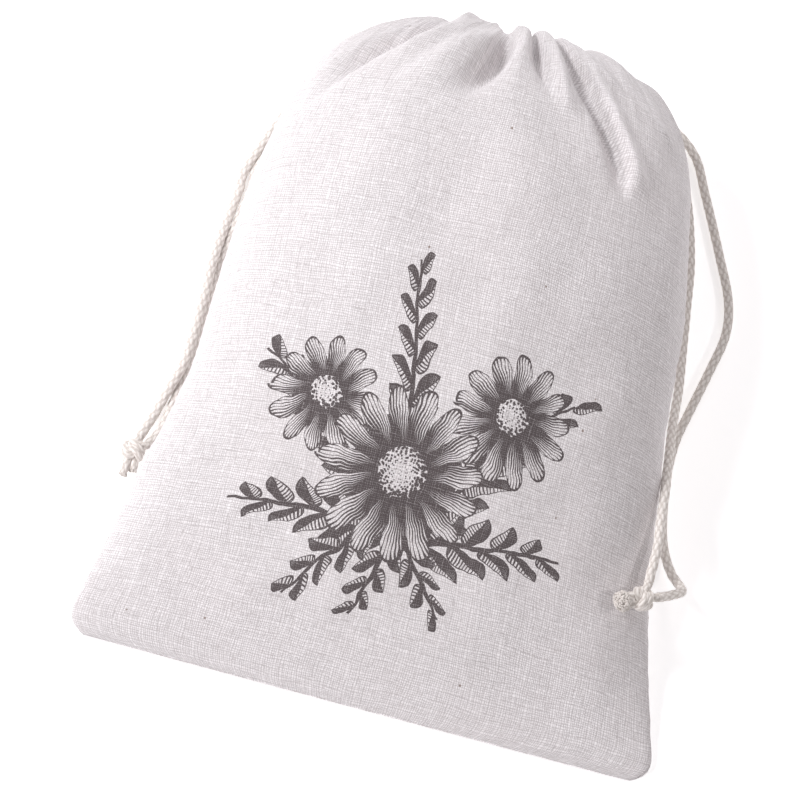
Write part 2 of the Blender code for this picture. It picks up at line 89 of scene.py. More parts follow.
# Folds from the neck down. Each row: distance from the casing's stitch line, place round the cloth,
# depth (less than 0 for a raised pleat), and how far it spreads to the left and right.
FOLD_LINES = (
    ("lens", 0.35, (
        # away   place  depth  left  right
        (0.0,    62.0, 19.0, 27.0, 13.0),
        (20.0,   70.0,  9.0, 24.0, 13.0),
        (42.0,   84.0,  3.4, 20.0, 10.0),
        (56.0,   80.0,  8.4, 26.0,  6.0),
        (68.0,   69.5, 10.4, 26.0,  5.6),
        (80.0,   61.0,  9.6, 26.0,  5.6),
        (93.0,   54.0,  6.4, 24.0,  5.8),
        (105.0,  47.5,  2.0, 20.0,  7.0),
        (116.0,  42.0,  0.0, 18.0,  8.0))),
    ("hollow", 0.30, (
        (0.0,   120.0, 20.0, 22.0, 12.0),
        (20.0,  129.0, 10.0, 18.0,  9.0),
        (36.0,  136.0,  3.8, 13.0,  6.0),
        (46.0,  139.0,  6.0, 13.0,  5.0),
        (54.0,  140.5, 13.0, 14.5,  4.6),
        (64.0,  140.5, 17.0, 17.0,  5.0),
        (76.0,  138.0, 16.0, 18.5,  6.0),
        (87.0,  134.0, 11.0, 18.0,  6.5),
        (96.0,  130.0,  5.0, 17.0,  7.0),
        (104.0, 127.0,  0.0, 16.0,  8.0))),
    ("slit", 0.8, (
        (40.0,  139.0,  0.0,  4.5,  3.4),
        (48.0,  140.5,  6.0,  4.5,  3.4),
        (56.0,  141.5,  9.5,  5.0,  3.4),
        (66.0,  141.8,  7.5,  5.5,  3.6),
        (76.0,  140.0,  3.0,  5.5,  4.0),
        (86.0,  137.0,  0.0,  5.5,  4.5))),
    ("small", 0.7, (
        (0.0,   150.0, 14.0, 14.0, 14.0),
        (20.0,  156.5,  7.0, 10.0, 10.0),
        (34.0,  160.0,  4.0,  8.5,  7.5),
        (46.0,  161.5,  8.0,  7.5,  5.0),
        (58.0,  164.0, 11.5,  8.0,  5.0),
        (68.0,  166.5,  9.6,  8.5,  5.0),
        (78.0,  170.0,  5.0,  8.0,  5.5),
        (89.0,  174.0,  0.0,  7.0,  6.0))),
    ("long", 0.75, (
        (0.0,   180.0, 15.0, 14.0, 15.0),
        (20.0,  181.5,  7.5, 12.0, 12.0),
        (34.0,  183.0,  4.4, 10.0,  9.0),
        (52.0,  188.0,  7.6, 10.0,  5.6),
        (70.0,  196.5, 10.0, 11.0,  4.8),
        (90.0,  208.5, 11.0, 11.5,  4.4),
        (105.0, 217.0, 10.0, 11.5,  4.2),
        (116.0, 222.0,  7.6, 10.0,  4.2),
        (124.0, 224.5,  3.8,  9.0,  5.0),
        (131.0, 226.0,  0.0,  9.0,  6.0))),
    ("right", 0.0, (
        (0.0,   262.0, 19.0, 24.0, 24.0),
        (20.0,  262.0,  8.5, 22.0, 22.0),
        (36.0,  261.0,  3.2, 20.0, 20.0),
        (56.0,  262.0,  1.4, 18.0, 20.0),
        (86.0,  266.0,  0.0, 18.0, 20.0))),
    ("soft", 0.0, (
        (0.0,   216.0, 16.0, 18.0, 22.0),
        (20.0,  212.0,  7.0, 16.0, 20.0),
        (36.0,  210.0,  2.4, 14.0, 18.0),
        (60.0,  222.0,  1.6, 12.0, 14.0),
        (80.0,  246.0,  0.6, 12.0, 14.0),
        (92.0,  256.0,  0.0, 12.0, 14.0))),
    ("ridge_a", 0.0, (
        (20.0,   92.0,  0.0, 10.0, 16.0),
        (44.0,  100.0, -1.6, 10.0, 18.0),
        (58.0,   94.0, -2.8, 10.0, 20.0),
        (74.0,   82.0, -3.0, 10.0, 22.0),
        (92.0,   69.0, -2.2, 10.0, 22.0),
        (110.0,  57.0, -0.8, 10.0, 22.0),
        (120.0,  50.0,  0.0, 10.0, 22.0))),
    ("lobe_a", 0.0, (
        (40.0,  120.0,  0.0, 16.0, 12.0),
        (56.0,  120.0, -2.2, 18.0, 12.0),
        (70.0,  112.0, -3.2, 18.0, 14.0),
        (86.0,  106.0, -2.2, 18.0, 15.0),
        (108.0, 103.0,  0.0, 18.0, 15.0))),
    ("pleat_1", 0.0, (
        (10.0,  140.0,  0.0, 12.0, 12.0),
        (40.0,  151.0, -1.2, 10.0, 10.0),
        (60.0,  152.5, -2.2, 10.0, 10.0),
        (80.0,  152.0, -1.8, 11.0, 11.0),
        (104.0, 149.0,  0.0, 12.0, 12.0))),
    ("pleat_2", 0.0, (
        (10.0,  168.0,  0.0, 10.0, 10.0),
        (42.0,  173.0, -1.8,  9.0,  9.0),
        (62.0,  178.0, -2.6,  9.0,  9.0),
        (76.0,  182.0, -3.2,  9.5,  9.5),
        (85.0,  184.5, -3.6, 10.0, 10.0),
        (92.0,  186.5, -2.2, 10.0, 10.0),
        (98.0,  188.0,  0.0, 10.0, 10.0))),
    ("ridge_r", 0.0, (
        (24.0,  194.0,  0.0,  9.0, 10.0),
        (52.0,  199.0, -1.4,  8.5, 10.0),
        (80.0,  212.0, -2.8,  8.0, 11.0),
        (98.0,  222.0, -4.0,  8.5, 12.0),
        (110.0, 228.0, -4.8,  9.0, 12.5),
        (119.0, 231.0, -3.6, 10.0, 12.5),
        (127.0, 233.0,  0.0, 10.0, 12.5))),
    ("faint", 0.0, (
        (36.0,  196.0,  0.0,  8.0,  8.0),
        (50.0,  200.0, -1.0,  8.0,  8.0),
        (63.0,  214.0, -1.6,  9.0,  9.0),
        (72.0,  234.0, -1.8, 11.0, 11.0),
        (80.0,  252.0, -2.2, 12.0, 11.0),
        (87.0,  262.0,  0.0, 12.0, 11.0))),
    ("back_1", 0.2, ((0.0, 312.0, 19.0, 25.0, 24.0), (22.0, 312.0, 9.0, 24.0, 24.0),
                     (50.0, 312.0, 5.0, 22.0, 22.0), (78.0, 312.0, 0.0, 20.0, 20.0))),
    ("back_2", 0.2, ((0.0, 360.0, 18.0, 24.0, 24.0), (22.0, 360.0, 8.0, 24.0, 24.0),
                     (50.0, 359.0, 3.6, 22.0, 22.0), (66.0, 358.0, 0.0, 20.0, 20.0))),
    ("back_3", 0.2, ((0.0, 408.0, 19.0, 24.0, 24.0), (22.0, 408.0, 10.0, 24.0, 24.0),
                     (50.0, 407.0, 6.5, 22.0, 22.0), (84.0, 405.0, 0.0, 20.0, 20.0))),
    ("back_4", 0.2, ((0.0, 456.0, 18.0, 24.0, 24.0), (22.0, 456.0, 8.0, 24.0, 24.0),
                     (50.0, 457.0, 3.6, 22.0, 22.0), (68.0, 458.0, 0.0, 20.0, 20.0))),
    ("back_5", 0.2, ((0.0, 504.0, 19.0, 24.0, 24.0), (22.0, 504.0, 10.0, 24.0, 24.0),
                     (50.0, 505.0, 6.5, 22.0, 22.0), (84.0, 507.0, 0.0, 20.0, 20.0))),
    ("back_6", 0.2, ((0.0, 554.0, 18.0, 25.0, 24.0), (22.0, 554.0, 8.5, 24.0, 24.0),
                     (50.0, 553.0, 4.6, 22.0, 22.0), (72.0, 552.0, 0.0, 20.0, 20.0))),
    ("back_7", 0.2, ((0.0, 608.0, 18.0, 28.0, 24.0), (22.0, 608.0, 8.0, 26.0, 24.0),
                     (50.0, 609.0, 4.0, 24.0, 22.0), (82.0, 607.0, 0.0, 20.0, 20.0))),
)
GUIDES = ("lens", "hollow", "small", "long", "right", "back_1", "back_2", "back_3", "back_4",
          "back_5", "back_6", "back_7")
# soft dips (more than 0) and swellings, each round one point of the cloth
SPOTS = (
    # place  away  depth  round  along
    (46.0,   62.0,  5.0,  40.0,  48.0),      # the left shoulder falls away over the top
    (85.0,   31.0, -4.6,   8.0,  10.0),      # a pleat of the mouth that shows over the top
    (116.0,  42.0,  3.2,  17.0,  18.0),      # the cloth left of the hollow dips to it
    (270.0,  72.0,  2.6,  30.0,  36.0),      # and the right one
    (260.0,  96.0,  1.6,  13.0,  10.0),      # under the end of the faint ridge
    (246.0, 150.0, -1.2,  30.0,  40.0),      # cloth pushed up beside the long crease
    (176.0, 104.0,  1.2,  16.0,  12.0),      # under the second pleat's round end
    (128.0, 118.0,  1.0,  26.0,  16.0),      # below the hollow
)
LEFT_A = (
    (-35.6, 342.0, 27.0), (-44.0, 347.0, 20.0), (-58.0, 353.0, 9.0), (-74.0, 354.0, 3.2),
    (-93.0, 345.0, 2.6), (-109.0, 327.0, 2.6), (-128.3, 270.9, 2.6), (-129.6, 254.3, 2.6),
    (-130.8, 238.8, 2.8), (-131.6, 222.5, 5.6), (-131.8, 207.2, 7.0), (-131.0, 192.6, 7.5),
    (-130.7, 178.1, 7.5), (-130.5, 163.8, 7.5), (-131.3, 149.4, 7.2), (-134.9, 134.7, 5.6),
    (-138.5, 120.4, 3.2), (-140.6, 111.9, 5.0), (-141.9, 105.8, 6.6),
)
LEFT_B = (
    (-35.2, 336.0, 18.5), (-44.0, 337.0, 11.0), (-58.0, 340.0, 3.6), (-75.0, 342.0, 2.6),
    (-92.0, 334.0, 2.6), (-105.0, 318.0, 2.6), (-122.7, 272.6, 2.6), (-123.7, 256.0, 2.6),
    (-125.3, 240.5, 2.6), (-127.1, 225.1, 2.6), (-128.9, 209.9, 2.6), (-129.4, 195.0, 2.6),
    (-129.4, 180.5, 2.6), (-129.4, 166.0, 2.6), (-129.5, 151.6, 2.6), (-130.2, 137.2, 2.6),
    (-131.6, 123.2, 2.6), (-132.9, 112.7, 4.0), (-137.0, 103.2, 6.0),
)
RIGHT_A = (
    (25.0, 342.0, 27.0), (34.0, 347.0, 20.0), (48.0, 354.0, 9.0), (64.0, 358.0, 3.2),
    (84.0, 356.0, 2.6), (101.0, 343.0, 2.6), (111.5, 322.0, 2.6), (126.0, 290.0, 2.6),
    (136.0, 266.0, 2.6), (138.8, 246.0, 2.6), (134.6, 223.0, 2.6), (128.8, 197.0, 2.6),
    (125.6, 181.0, 2.6), (125.0, 163.1, 2.6), (126.9, 144.5, 2.6), (129.8, 128.5, 3.0),
    (133.6, 117.5, 4.2), (138.1, 108.4, 7.5), (142.4, 102.0, 13.0), (143.8, 96.9, 20.0),
    (139.8, 92.2, 27.0), (134.7, 88.1, 32.5), (130.0, 84.6, 38.4),
)
RIGHT_B = (
    (24.5, 336.0, 18.5), (33.0, 337.0, 11.0), (48.0, 341.0, 3.6), (65.0, 345.0, 2.6),
    (82.0, 343.0, 2.6), (95.0, 332.0, 2.6), (104.0, 312.0, 2.6), (111.9, 281.6, 2.6),
    (115.6, 254.1, 2.6), (118.3, 231.1, 3.4), (120.5, 206.8, 8.0), (120.6, 183.2, 18.0),
    (121.3, 160.9, 29.5), (121.6, 148.8, 36.0), (122.0, 139.2, 40.6), (122.9, 123.0, 42.6),
    (124.1, 109.6, 43.6), (124.1, 100.4, 43.6), (123.9, 93.5, 43.2), (123.9, 89.4, 42.4),
)
KNOT_LEFT = {"at": (-142.8, 98.1, 6.8), "ends": (0.0, -0.985, -0.17),
             "tails": (9.6, 13.0), "yarns": 34, "tuft": None}
KNOT_RIGHT = {"at": (122.8, 81.6, 39.0), "ends": (-0.86, -0.42, 0.30),
              "tails": (7.2, 7.8), "yarns": 0, "tuft": (11.0, 3.6, 4.7)}

PRINT_MIDDLE = (146.0, 136.0)      # place round the cloth, and distance from the bottom fold


def to_frame(p):
    """Table millimetres to the frame's metres."""
    p = np.asarray(p, float)
    return (p + np.array([0.0, OFFSET_Y, 0.0])) * MM


# ============================================================ the camera
def make_camera():
    data = bpy.data.cameras.new("camera")
    cam = bpy.data.objects.new("camera", data)
    bpy.context.scene.collection.objects.link(cam)
    elevation, roll, distance = math.radians(70.0), math.radians(15.0), 1.400
    target = Vector((0.0, -0.01135, 0.040))
    right = Vector((1.0, 0.0, 0.0))
    forward = Vector((0.0, math.cos(elevation), -math.sin(elevation)))
    up = Vector((0.0, math.sin(elevation), math.cos(elevation)))
    cam.location = target - distance * forward - 0.01863 * right - 0.02378 * up
    x = right * math.cos(roll) + up * math.sin(roll)
    y = up * math.cos(roll) - right * math.sin(roll)
    cam.matrix_world = Matrix.Translation(cam.location) @ Matrix(
        ((x.x, y.x, -forward.x), (x.y, y.y, -forward.y), (x.z, y.z, -forward.z))).to_4x4()
    data.sensor_width = 36.0
    data.lens = 124.2
    data.clip_start, data.clip_end = 0.05, 20.0
    bpy.context.scene.camera = cam
    return cam


# ============================================================ small helpers
def link(obj):
    bpy.context.scene.collection.objects.link(obj)
    return obj


def mesh_object(name, verts, faces, material, smooth=True):
    mesh = bpy.data.meshes.new(name)
    mesh.from_pydata([tuple(v) for v in verts], [], [tuple(f) for f in faces])
    mesh.update()
    if smooth:
        mesh.shade_smooth()
    mesh.materials.append(material)
    return link(bpy.data.objects.new(name, mesh))


def ease(x):
    x = np.clip(x, 0.0, 1.0)
    return x * x * (3.0 - 2.0 * x)


def unit(v):
    v = np.asarray(v, float)
    return v / (np.linalg.norm(v, axis=-1, keepdims=True) + 1e-12)


# ============================================================ node helpers
class Nodes:
    """Short calls for a material's nodes."""

    def __init__(self, tree):
        self.tree = tree
        self.x = 0

    def new(self, kind, **values):
        node = self.tree.nodes.new(kind)
        self.x += 1
        node.location = (self.x % 40 * 170, -(self.x // 40) * 260)
        for key, value in values.items():
            setattr(node, key, value)
        return node

    def put(self, socket, value):
        if isinstance(value, bpy.types.NodeSocket):
            self.tree.links.new(value, socket)
        else:
            socket.default_value = value

    def m(self, operation, a, b=0.0, c=0.0, clamp=False):
        node = self.new("ShaderNodeMath", operation=operation, use_clamp=clamp)
        for socket, value in zip(node.inputs, (a, b, c)):
            self.put(socket, value)
        return node.outputs[0]

    def add(self, a, b): return self.m("ADD", a, b)
    def sub(self, a, b): return self.m("SUBTRACT", a, b)
    def mul(self, a, b): return self.m("MULTIPLY", a, b)
    def div(self, a, b): return self.m("DIVIDE", a, b)
    def high(self, a, b): return self.m("MAXIMUM", a, b)
    def low(self, a, b): return self.m("MINIMUM", a, b)
    def abs(self, a): return self.m("ABSOLUTE", a)
    def less(self, a, b): return self.m("LESS_THAN", a, b)
    def more(self, a, b): return self.m("GREATER_THAN", a, b)
    def floor(self, a): return self.m("FLOOR", a)
    def part(self, a): return self.m("FRACT", a)
    def sin(self, a): return self.m("SINE", a)
    def cos(self, a): return self.m("COSINE", a)

    def range(self, value, low, high, out_low=0.0, out_high=1.0, smooth=False):
        node = self.new("ShaderNodeMapRange", clamp=True,
                        interpolation_type="SMOOTHSTEP" if smooth else "LINEAR")
        for name, v in (("Value", value), ("From Min", low), ("From Max", high),
                        ("To Min", out_low), ("To Max", out_high)):
            self.put(node.inputs[name], v)
        return node.outputs[0]

    def xyz(self, x, y, z=0.0):
        node = self.new("ShaderNodeCombineXYZ")
        for socket, value in zip(node.inputs, (x, y, z)):
            self.put(socket, value)
        return node.outputs[0]

    def noise(self, vector, scale, detail=2.0, rough=0.5, dims="2D"):
        node = self.new("ShaderNodeTexNoise", noise_dimensions=dims)
        self.put(node.inputs["Vector"], vector)
        node.inputs["Scale"].default_value = scale
        node.inputs["Detail"].default_value = detail
        node.inputs["Roughness"].default_value = rough
        return node.outputs["Fac"]

    def mix(self, share, a, b):
        node = self.new("ShaderNodeMix", data_type="RGBA")
        self.put(node.inputs["Factor"], share)
        for name, value in (("A", a), ("B", b)):
            socket = next(s for s in node.inputs if s.name == name and s.type == "RGBA")
            self.put(socket, (*value, 1.0) if isinstance(value, tuple) and len(value) == 3 else value)
        return next(s for s in node.outputs if s.type == "RGBA")

    def lerp(self, share, a, b):
        """a where share is 0, b where it is 1, for plain numbers."""
        return self.m("MULTIPLY_ADD", share, self.sub(b, a), a)


def new_material(name):
    material = bpy.data.materials.new(name)
    material.use_nodes = True
    tree = material.node_tree
    shader = tree.nodes["Principled BSDF"]
    return material, Nodes(tree), shader


# ============================================================ the print: a posy, in the manner of an engraving
def hatch(n, along, tone):
    """Lines across `along` (whole numbers are line centres), as wide as the tone is dark."""
    off = n.abs(n.sub(n.part(along), 0.5))
    return n.less(off, n.mul(tone, 0.5))


def flower(n, X, Y, stipple, at, radius, petals, turn, core):
    """A daisy: rounded petals with fine lines from the middle, and a stippled centre."""
    dx, dy = n.sub(X, at[0]), n.sub(Y, at[1])
    r = n.m("SQRT", n.add(n.mul(dx, dx), n.mul(dy, dy)))
    angle = n.m("ARCTAN2", dy, dx)
    sector = n.m("MULTIPLY_ADD", angle, petals / (2 * math.pi), turn + 50.0)
    index = n.floor(sector)
    f = n.sub(n.sub(sector, index), 0.5)                 # -0.5 to 0.5 across a petal
    odd = n.sin(n.mul(index, 12.9))                      # each petal a little its own
    side = n.abs(f)
    far = n.m("MULTIPLY_ADD", odd, 0.05 * radius, radius * 0.95)
    shape = n.sub(1.0, n.mul(n.m("POWER", n.mul(side, 2.0), 2.6), 0.42))
    edge = n.mul(far, shape)
    inside = n.mul(n.less(r, edge), n.more(r, core))
    gap = n.mul(n.sub(0.5, side), n.mul(r, 2 * math.pi / petals))
    rim = n.high(n.less(n.sub(edge, r), 1.15), n.less(gap, 0.75))
    k = n.div(n.sub(r, core), n.sub(edge, core))         # 0 at the base, 1 at the tip
    tone = n.add(n.range(k, 0.0, 0.85, 1.05, 0.14), n.mul(n.range(f, -0.05, 0.5), 0.62))
    tone = n.add(tone, n.range(k, 0.80, 1.0, 0.0, 0.40))
    lines = hatch(n, n.add(n.mul(f, 9.0), n.mul(odd, 0.3)), tone)
    ink = n.mul(inside, n.high(rim, lines))
    disc = n.less(r, core)
    shade = n.add(n.range(n.div(r, core), 0.25, 1.0, 0.25, 0.95),
                  n.mul(n.sub(n.div(n.sub(dx, dy), core), 0.0), 0.16))
    dots = n.less(stipple, n.mul(shade, 0.70))
    ring = n.less(n.abs(n.sub(r, core)), 1.1)
    ink = n.high(ink, n.high(n.mul(disc, dots), ring))
    cover = n.less(r, n.high(edge, core))
    return ink, cover


def sprig(n, X, Y, at, angle, length, bow, leaf, pitch, lean, plump):
    """A bowed stem with leaves in turn on both sides, each with its midrib and fine lines."""
    c, s = math.cos(math.radians(angle)), math.sin(math.radians(angle))
    dx, dy = n.sub(X, at[0]), n.sub(Y, at[1])
    a = n.add(n.mul(dx, c), n.mul(dy, s))                # along the stem
    b = n.sub(n.mul(dy, c), n.mul(dx, s))                # across it
    b = n.sub(b, n.mul(n.mul(a, a), bow / (length * length)))
    k = n.range(a, 0.0, length)
    side = n.abs(b)
    sign = n.more(b, 0.0)
    cot, sine = 1 / math.tan(math.radians(lean)), math.sin(math.radians(lean))
    run = n.sub(a, n.mul(side, cot))                     # where this point's leaf leaves the stem
    cell = n.add(n.div(run, pitch), n.mul(sign, 0.5))
    index = n.floor(cell)
    across = n.mul(n.sub(n.sub(cell, index), 0.5), pitch * sine)
    out = n.div(side, sine)
    foot = n.mul(n.add(index, 0.5), pitch)
    reach = n.range(foot, 0.0, length, leaf, leaf * 0.42)
    t = n.div(out, reach)
    belly = n.mul(n.sin(n.mul(n.m("POWER", n.m("MINIMUM", t, 1.0), 0.85), math.pi)), plump)
    half = n.mul(belly, n.range(foot, 0.0, length, 1.0, 0.62))
    within = n.mul(n.mul(n.more(run, 0.0), n.less(foot, length)), n.less(t, 1.0))
    leafy = n.mul(within, n.less(n.abs(across), half))
    rim = n.less(n.sub(half, n.abs(across)), 0.75)
    rib = n.less(n.abs(across), n.range(t, 0.0, 1.0, 0.85, 0.3))
    slant = n.sub(n.mul(out, 0.62), n.mul(n.abs(across), 0.75))
    dark = n.add(n.mul(n.more(across, 0.0), 0.60), n.range(t, 0.0, 0.8, 0.72, 0.30))
    ink = n.mul(leafy, n.high(n.high(rim, rib), hatch(n, slant, dark)))
    stem = n.mul(n.mul(n.less(side, n.range(k, 0.0, 1.0, 1.7, 0.7)), n.more(a, 0.0)),
                 n.less(a, length))
    return n.high(ink, stem), n.high(leafy, stem)


def posy(n, X, Y, stipple):
    """Flowers over leafy sprigs: how much ink there is at a point, 0 to 1."""
    parts = (
        ("sprig", (4, -52), 128, 118, 22, 30, 17.0, 44, 6.6),
        ("sprig", (6, -54), 62, 114, -20, 31, 17.5, 44, 6.8),
        ("sprig", (0, -40), 95, 126, 6, 26, 16.0, 42, 6.0),
        ("sprig", (-2, -50), 168, 84, 16, 27, 15.5, 46, 6.2),
        ("sprig", (8, -52), 18, 80, -12, 27, 15.5, 46, 6.2),
        ("sprig", (2, -40), -98, 52, -8, 20, 13.5, 48, 5.0),
        ("sprig", (4, -40), -68, 50, 10, 20, 13.5, 48, 5.0),
        ("sprig", (0, -34), -140, 70, 12, 24, 14.5, 46, 5.8),
        ("flower", (47, 21), 34, 13, 0.20, 10.0),
        ("flower", (-50, 11), 31, 12, 0.55, 9.0),
        ("flower", (-2, -18), 46, 15, 0.05, 14.0),
    )
    ink = 0.0
    for row in parts:
        if row[0] == "flower":
            drawn, cover = flower(n, X, Y, stipple, *row[1:])
        else:
            drawn, cover = sprig(n, X, Y, *row[1:])
        ink = n.high(n.mul(ink, n.sub(1.0, cover)), drawn) if not isinstance(ink, float) else drawn
    return ink


# ============================================================ the cloth's material
def cloth_material(printed=True):
    material, n, shader = new_material("cotton_linen_cloth")
    uv = n.new("ShaderNodeUVMap", uv_map="Flat").outputs[0]
    split = n.new("ShaderNodeSeparateXYZ")
    n.put(split.inputs[0], uv)
    U, V = n.mul(split.outputs[0], 1000.0), n.mul(split.outputs[1], 1000.0)   # mm of cloth
    # threads wander a little
    wander = n.noise(n.xyz(n.mul(U, 0.02), n.mul(V, 0.02)), 1.0, 2.0)
    U1 = n.add(U, n.mul(n.sub(wander, 0.5), 3.0))
    V1 = n.add(V, n.mul(n.sub(wander, 0.5), -3.0))
    pitch = 1.12
    # and their spacing is uneven
    uneven_u = n.noise(n.xyz(n.mul(U, 0.34), n.mul(V, 0.035)), 1.0, 2.0, 0.6)
    uneven_v = n.noise(n.xyz(n.mul(U, 0.035), n.mul(V, 0.34)), 1.0, 2.0, 0.6)
    U1 = n.add(U1, n.mul(n.sub(uneven_u, 0.5), 2.4))
    V1 = n.add(V1, n.mul(n.sub(uneven_v, 0.5), 2.4))
    wu, wv = n.div(U1, pitch), n.div(V1, pitch * 1.04)
    iu, iv = n.floor(wu), n.floor(wv)
    # each thread's own thickness and shade along its length
    warp = n.noise(n.xyz(n.mul(iu, 3.71), n.mul(V, 0.045)), 1.0, 3.0, 0.62)
    weft = n.noise(n.xyz(n.mul(U, 0.045), n.mul(iv, 5.37)), 1.0, 3.0, 0.62)
    fu, fv = n.sub(n.sub(wu, iu), 0.5), n.sub(n.sub(wv, iv), 0.5)
    # plain weave: which thread is on top goes in a chessboard
    parity = n.m("FLOORED_MODULO", n.add(iu, iv), 2.0)
    round_u = n.cos(n.mul(fu, math.pi))      # across a warp thread
    round_v = n.cos(n.mul(fv, math.pi))      # across a weft thread
    warp_up = n.mul(round_u, n.m("MULTIPLY_ADD", round_v, 0.5, 0.5))
    weft_up = n.mul(round_v, n.m("MULTIPLY_ADD", round_u, 0.5, 0.5))
    top = n.lerp(parity, warp_up, weft_up)
    shade = n.lerp(parity, warp, weft)
    slub = n.range(shade, 0.56, 0.80, 0.0, 1.0, smooth=True)
    thin = n.range(shade, 0.44, 0.26, 0.0, 1.0, smooth=True)
    height = n.add(n.mul(top, n.add(0.72, n.mul(n.sub(shade, 0.5), 1.5))), n.mul(slub, 0.5))
    fuzz = n.noise(n.xyz(U, V), 2.6, 3.0, 0.7)
    cloudy = n.noise(n.xyz(n.mul(U, 0.016), n.mul(V, 0.016)), 1.0, 3.0, 0.55)
    # the weave's colour follows its height: painted shade down in the gaps between threads, and a painted highlight on
    # the threads' raised crowns
    light, middle, dark = (0.89, 0.86, 0.87), (0.76, 0.73, 0.735), (0.34, 0.31, 0.31)
    colour = n.mix(n.range(top, 0.12, 0.95), dark, middle)
    colour = n.mix(n.range(top, 0.45, 1.0, 0.25, 0.85), colour, light)
    colour = n.mix(n.mul(slub, 0.30), colour, (0.90, 0.875, 0.88))
    colour = n.mix(n.mul(thin, 0.30), colour, (0.50, 0.46, 0.455))
    # knots and thin places of single threads, a few mm long
    grain = n.noise(n.xyz(n.mul(iu, 1.7), n.mul(iv, 1.7)), 1.0, 3.0, 0.75)
    colour = n.mix(n.range(grain, 0.52, 0.75, 0.0, 0.30), colour, (0.90, 0.865, 0.87))
    colour = n.mix(n.range(grain, 0.48, 0.26, 0.0, 0.40), colour, (0.46, 0.42, 0.415))
    colour = n.mix(n.mul(n.range(fuzz, 0.35, 0.75), 0.22), colour, (0.86, 0.835, 0.835))
    colour = n.mix(n.range(cloudy, 0.3, 0.75, 0.0, 0.16), colour, (0.72, 0.655, 0.655))
    # a few dark specks of seed in the linen
    cells = n.new("ShaderNodeTexVoronoi", voronoi_dimensions="2D", feature="F1")
    n.put(cells.inputs["Vector"], n.xyz(n.mul(U, 0.030), n.mul(V, 0.030)))
    cells.inputs["Scale"].default_value = 1.0
    speck_at = cells.outputs["Distance"]
    chance = n.new("ShaderNodeSeparateXYZ")
    n.put(chance.inputs[0], cells.outputs["Color"])
    speck = n.mul(n.less(speck_at, n.mul(n.add(chance.outputs[1], 0.35), 0.016)),
                  n.more(chance.outputs[0], 0.72))
    colour = n.mix(n.mul(speck, 0.75), colour, (0.22, 0.155, 0.12))
    if printed:
        X = n.sub(U, PRINT_MIDDLE[0])
        Y = n.sub(V, PRINT_MIDDLE[1])
        shake = n.noise(n.xyz(X, Y), 0.055, 2.0)
        shake2 = n.noise(n.xyz(Y, X), 0.062, 2.0)
        X = n.add(X, n.mul(n.sub(shake, 0.5), 5.0))
        Y = n.add(Y, n.mul(n.sub(shake2, 0.5), 5.0))
        dots = n.new("ShaderNodeTexVoronoi", voronoi_dimensions="2D", feature="F1")
        n.put(dots.inputs["Vector"], n.xyz(n.mul(X, 0.62), n.mul(Y, 0.62)))
        dots.inputs["Scale"].default_value = 1.0
        ink = posy(n, X, Y, dots.outputs["Distance"])
        near = n.mul(n.less(n.abs(n.sub(U, PRINT_MIDDLE[0])), 118.0),
                     n.less(n.abs(n.sub(V, PRINT_MIDDLE[1])), 122.0))
        taken = n.range(n.add(n.mul(top, 0.62), n.mul(fuzz, 0.55)), 0.26, 0.46, 0.45, 1.0)
        ink = n.mul(n.mul(ink, near), taken)
        colour = n.mix(n.mul(ink, 0.96), colour, (0.062, 0.047, 0.048))
    n.put(shader.inputs["Base Color"], colour)
    shader.inputs["Roughness"].default_value = 0.92
    shader.inputs["Specular IOR Level"].default_value = 0.22
    shader.inputs["Sheen Weight"].default_value = 0.10
    shader.inputs["Sheen Roughness"].default_value = 0.55
    bump = n.new("ShaderNodeBump")
    bump.inputs["Strength"].default_value = 0.75
    bump.inputs["Distance"].default_value = 0.00026
    n.put(bump.inputs["Height"], n.add(height, n.mul(fuzz, 0.25)))
    n.put(shader.inputs["Normal"], bump.outputs[0])
    return material


